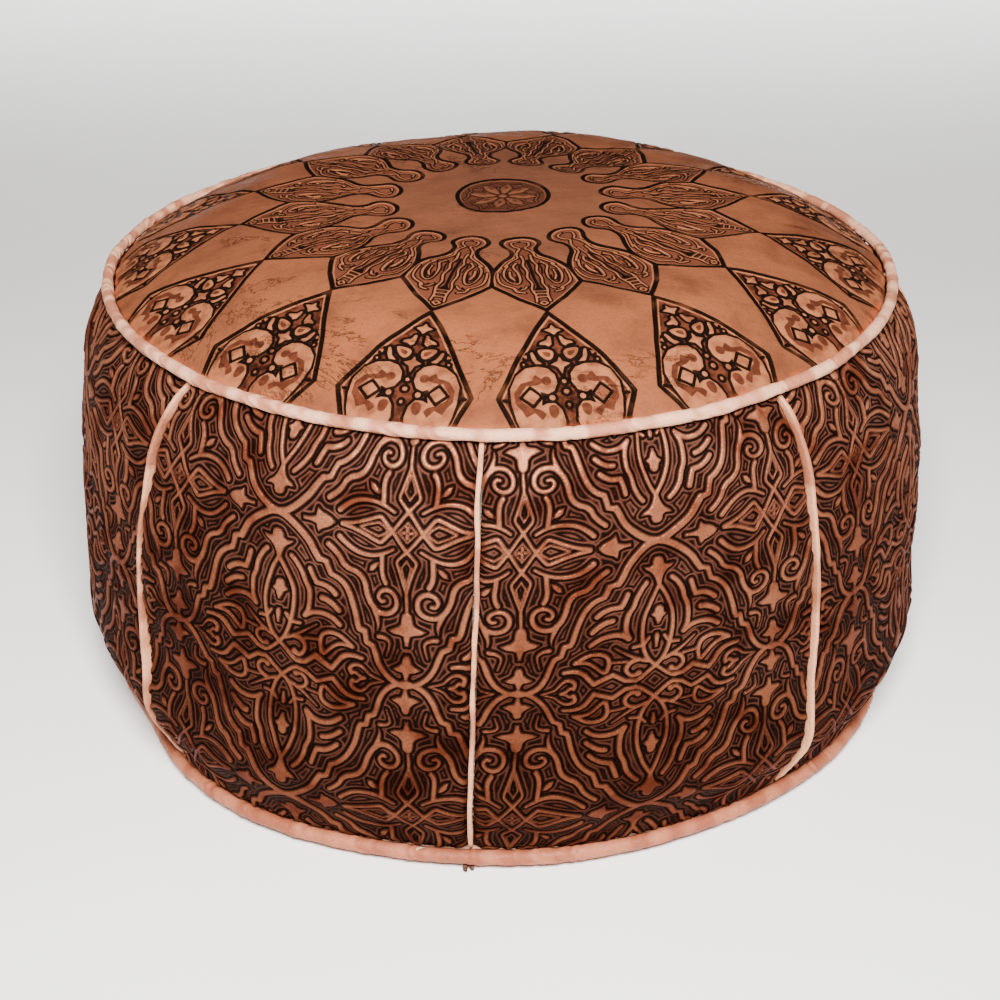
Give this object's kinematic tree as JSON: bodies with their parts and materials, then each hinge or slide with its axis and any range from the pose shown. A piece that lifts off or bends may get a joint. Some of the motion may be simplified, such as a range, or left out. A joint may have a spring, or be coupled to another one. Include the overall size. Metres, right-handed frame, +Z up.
{
  "type": "leather pouf",
  "caption": "Round stuffed leather floor pouf with a tooled star on its domed top, embossed side panels, piped seams and a zip in the base.",
  "frame": {"origin": "middle of the footprint, on the floor", "axes": "+Z up; -Y is the front, where one side seam stands 3.9 degrees left of the middle; +X to the right of a viewer in front"},
  "size_m": [0.5426, 0.5426, 0.307],
  "materials": {
    "top_leather": "satin",
    "side_leather": "satin",
    "side_welt_leather": "satin",
    "top_welt_leather": "satin",
    "bottom_welt_leather": "satin",
    "base_leather": "matte",
    "cord": "matte",
    "wadding": "matte",
    "calico": "matte",
    "thread": "matte",
    "zip_tape": "matte",
    "zip_metal": "satin",
    "seam_end_leather": "matte"
  },
  "bodies": {
    "cover": {"top_panel": "top_leather", "side_panel_1": "side_leather", "side_panel_2": "side_leather", "side_panel_3": "side_leather", "side_panel_4": "side_leather", "side_panel_5": "side_leather", "side_panel_6": "side_leather", "side_panel_7": "side_leather", "side_panel_8": "side_leather", "side_welt_1": "side_welt_leather", "side_welt_2": "side_welt_leather", "side_welt_3": "side_welt_leather", "side_welt_4": "side_welt_leather", "side_welt_5": "side_welt_leather", "side_welt_6": "side_welt_leather", "side_welt_7": "side_welt_leather", "side_welt_8": "side_welt_leather", "top_welt_cover": "top_welt_leather", "top_welt_cord": "cord", "bottom_welt_cover": "bottom_welt_leather", "bottom_welt_cord": "cord", "base_back": "base_leather", "base_front": "base_leather", "filling": "wadding", "lining_bag": "calico", "top_seam_stitches": "thread", "bottom_seam_stitches": "thread", "side_seam_stitches": "thread", "zip_stitches": "thread", "zip_tape_back": "zip_tape", "zip_tape_front": "zip_tape", "zip_teeth_back": "zip_metal", "zip_teeth_front": "zip_metal", "zip_top_stops": "zip_metal", "zip_bottom_stop": "zip_metal", "seam_tail": "seam_end_leather"},
    "slider": {"zip_slider": "zip_metal"},
    "pull": {"zip_pull": "zip_metal"}
  },
  "joints": [
    {"name": "zip_slide", "type": "slide", "parent": "cover", "child": "slider", "axis": [-1, 0, 0], "range_m": [0, 0.34], "deforming": ["zip_teeth_back", "zip_teeth_front"]},
    {"name": "pull_hinge", "type": "hinge", "parent": "slider", "child": "pull", "pos_m": [0.172, 0, 0.00237], "axis": [0, -1, 0], "range_deg": [0, 180]}
  ]
}
